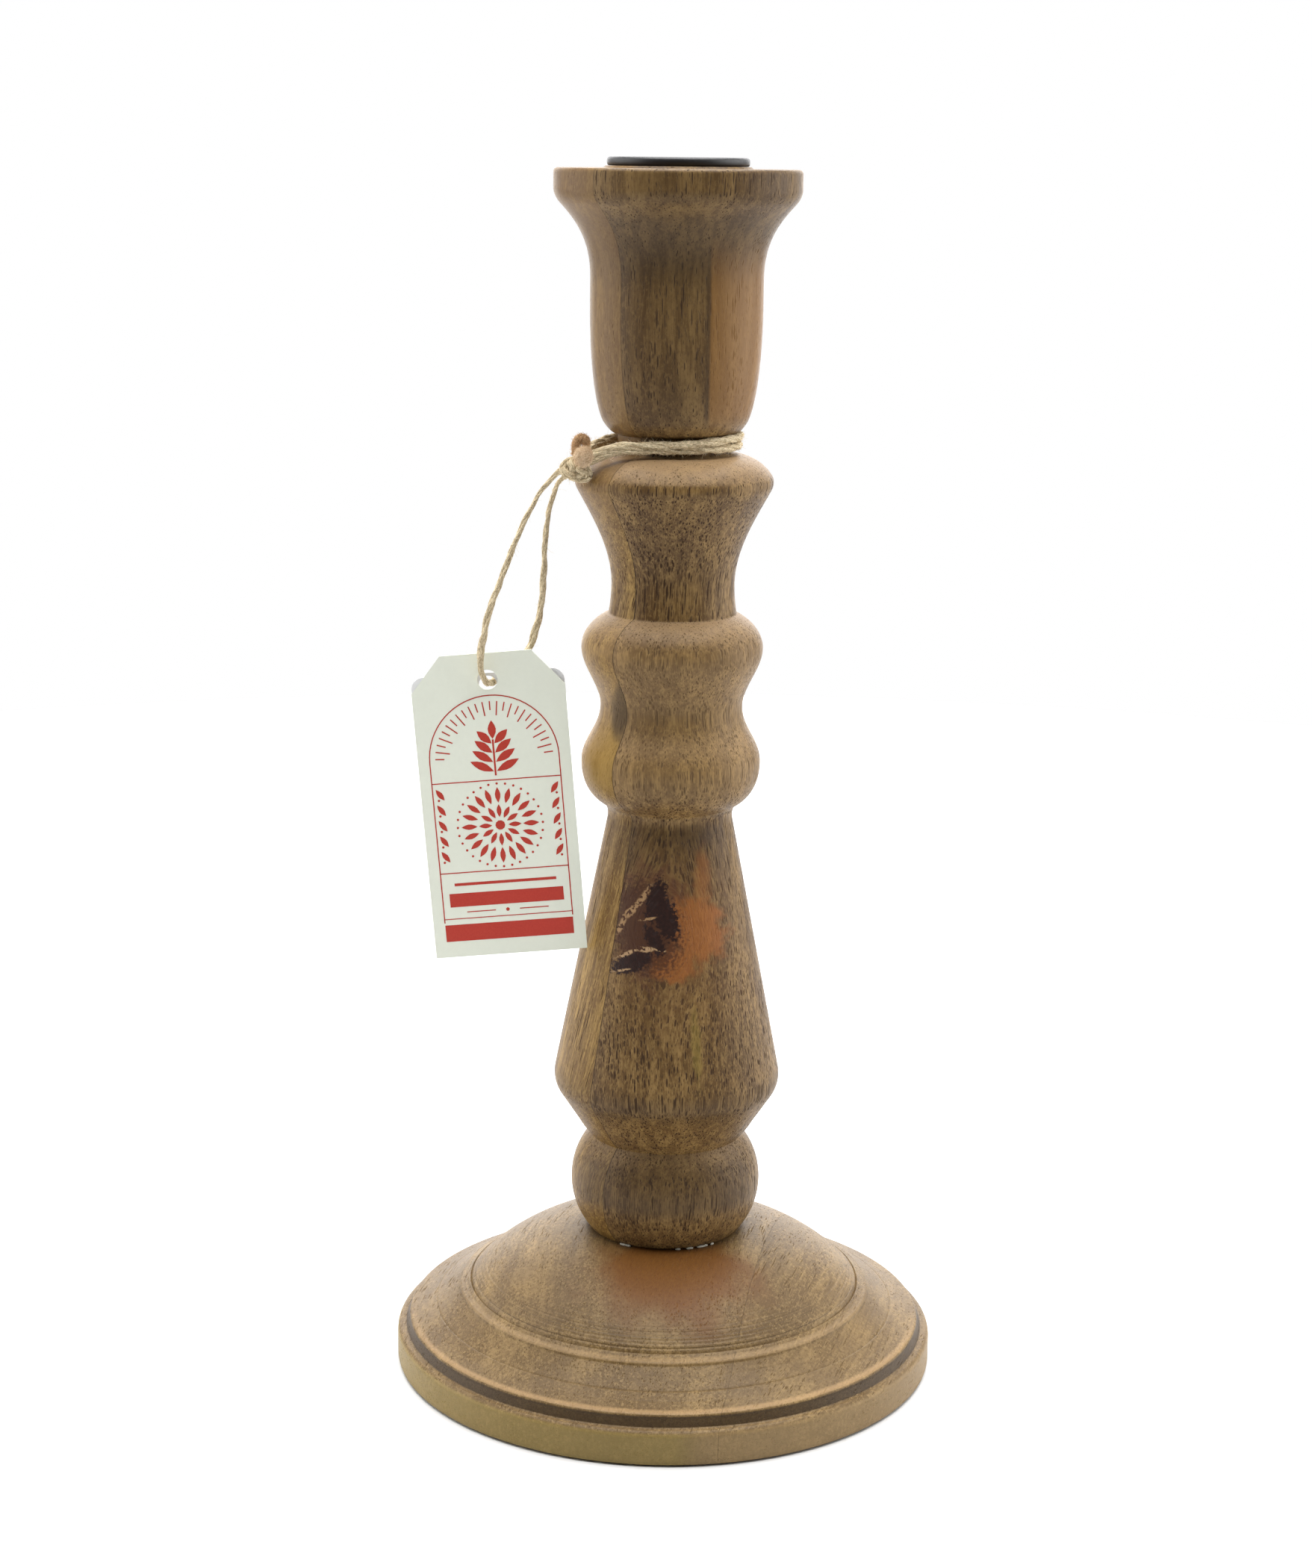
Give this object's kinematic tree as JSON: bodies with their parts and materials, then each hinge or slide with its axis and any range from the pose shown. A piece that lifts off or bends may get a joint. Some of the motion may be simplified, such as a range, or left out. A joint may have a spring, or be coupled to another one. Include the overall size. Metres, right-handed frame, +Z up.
{
  "type": "candlestick",
  "caption": "Turned wooden candlestick on a round stepped base, with a black metal taper cup and a paper swing tag tied on with jute twine.",
  "frame": {"origin": "centre of the face that the candlestick stands on, on the axis of the turning", "axes": "+Z up along the axis of the turning, -Y towards the front, +X to the right seen from the front"},
  "size_m": [0.136, 0.136, 0.3],
  "materials": {
    "oiled_wood": "satin oiled mango wood, grey-brown with dark pores",
    "amber_wood": "satin oiled mango wood, amber brown",
    "black_metal": "black enamel, half gloss",
    "zinc_steel": "bright zinc plate",
    "felt": "dark green wool felt",
    "jute": "natural jute twine",
    "cut_jute": "frayed ends of jute twine, browned",
    "card": "matt off-white card, printed in red"
  },
  "bodies": {
    "candlestick": {"base_board_left": "oiled_wood", "base_board_right": "oiled_wood", "stem_stave_left": "amber_wood", "stem_stave_right": "oiled_wood", "base_screw": "zinc_steel", "screw_washer": "zinc_steel", "base_felt": "felt"},
    "cup": {"candle_cup": "black_metal"},
    "neck_tie": {"neck_twine_upper": "jute", "neck_twine_lower": "jute", "twine_knot": "jute", "twine_end_upper": "cut_jute", "twine_end_lower": "cut_jute"},
    "tag": {"tag_string": "jute", "swing_tag": "card", "backing_card": "card"}
  },
  "joints": [
    {"name": "cup_lift", "type": "slide", "parent": "candlestick", "child": "cup", "axis": [0, 0, 1], "range_m": [0, 0.034]},
    {"name": "twine_turn", "type": "hinge", "parent": "candlestick", "child": "neck_tie", "pos_m": [0, 0, 0.2333], "axis": [0, 0, 1], "continuous": true},
    {"name": "tag_swing", "type": "hinge", "parent": "neck_tie", "child": "tag", "pos_m": [-0.0232, -0.0126, 0.228], "axis": [0, 1, 0], "range_deg": [0, 75]}
  ]
}
